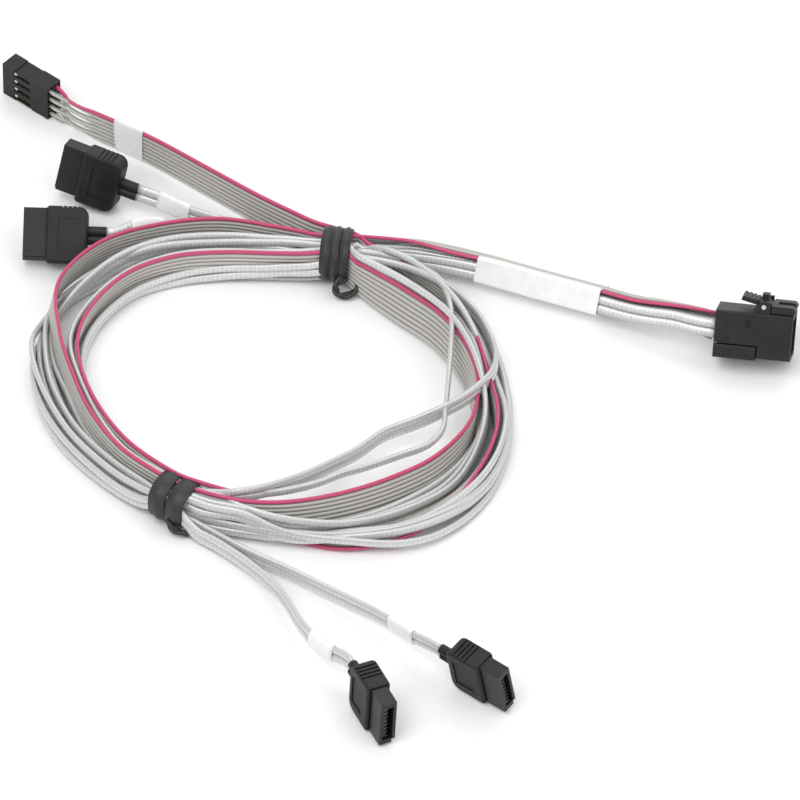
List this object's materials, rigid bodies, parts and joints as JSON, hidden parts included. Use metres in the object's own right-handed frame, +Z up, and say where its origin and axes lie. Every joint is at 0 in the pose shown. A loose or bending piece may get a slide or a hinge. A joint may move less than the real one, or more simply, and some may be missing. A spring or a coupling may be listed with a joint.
{
  "type": "breakout cable",
  "caption": "Internal mini-SAS HD plug with a thumb latch, broken out through flat silver cords to drive signal plugs and through a ribbon to a crimp housing, coiled and tied.",
  "frame": {"origin": "bottom centre of the latched mini-SAS plug's bounding box, on the surface that the cable lies on", "axes": "+X is the mini-SAS plug's mating direction, +Z is up from the surface; the coil and the other plugs lie towards -X"},
  "size_m": [0.2126, 0.2187, 0.0188],
  "materials": {
    "black_plastic": "moulded black, lightly textured",
    "nose_plastic": "moulded dark grey, smooth",
    "gold_contact": "thin gold plating",
    "circuit_board": "solder-resist green board with plated fingers",
    "pin_steel": "drawn steel pin",
    "twinax_jacket": "silver foil under a clear jacket",
    "ribbon_jacket": "warm light grey ribbed ribbon, one edge conductor pink",
    "white_wrap": "white film wrap, blank",
    "tie_coat": "black coated wire ribbon"
  },
  "bodies": {
    "cable": {"mini_sas_housing": "black_plastic", "mini_sas_cover": "black_plastic", "latch_pin": "pin_steel", "paddle_card_lower": "circuit_board", "paddle_card_upper": "circuit_board", "cord_comb": "black_plastic", "drive_plug_a_overmould": "black_plastic", "drive_plug_a_nose": "nose_plastic", "drive_plug_a_contacts": "gold_contact", "drive_plug_b_overmould": "black_plastic", "drive_plug_b_nose": "nose_plastic", "drive_plug_b_contacts": "gold_contact", "drive_plug_c_overmould": "black_plastic", "drive_plug_c_nose": "nose_plastic", "drive_plug_c_contacts": "gold_contact", "drive_plug_d_overmould": "black_plastic", "drive_plug_d_nose": "nose_plastic", "drive_plug_d_contacts": "gold_contact", "sideband_housing": "black_plastic", "sideband_terminal_1": "gold_contact", "sideband_terminal_2": "gold_contact", "sideband_terminal_3": "gold_contact", "sideband_terminal_4": "gold_contact", "sideband_terminal_5": "gold_contact", "sideband_terminal_6": "gold_contact", "sideband_terminal_7": "gold_contact", "sideband_terminal_8": "gold_contact", "coil_bundle": "twinax_jacket", "lead_twinax_1": "twinax_jacket", "lead_twinax_2": "twinax_jacket", "lead_twinax_3": "twinax_jacket", "lead_twinax_4": "twinax_jacket", "lead_twinax_5": "twinax_jacket", "lead_twinax_6": "twinax_jacket", "lead_twinax_7": "twinax_jacket", "lead_twinax_8": "twinax_jacket", "lead_ribbon": "ribbon_jacket", "tail_twinax_drive_a_lower": "twinax_jacket", "tail_twinax_drive_a_upper": "twinax_jacket", "tail_twinax_drive_b_lower": "twinax_jacket", "tail_twinax_drive_b_upper": "twinax_jacket", "tail_twinax_drive_c_lower": "twinax_jacket", "tail_twinax_drive_c_upper": "twinax_jacket", "tail_twinax_drive_d_lower": "twinax_jacket", "tail_twinax_drive_d_upper": "twinax_jacket", "tail_ribbon": "ribbon_jacket", "cord_label": "white_wrap", "marker_sleeve_a": "white_wrap", "marker_sleeve_b": "white_wrap", "marker_sleeve_c": "white_wrap", "marker_sleeve_d": "white_wrap", "ribbon_marker": "white_wrap", "twist_tie_one": "tie_coat", "twist_tie_two": "tie_coat"},
    "latch": {"latch_lever": "black_plastic"}
  },
  "joints": [
    {"name": "latch_hinge", "type": "hinge", "parent": "cable", "child": "latch", "pos_m": [0.00198, 0.00358, 0.01459], "axis": [0, -0.829, 0.5592], "range_deg": [0, 8], "stiffness_Nm_per_rad": 0.05}
  ]
}
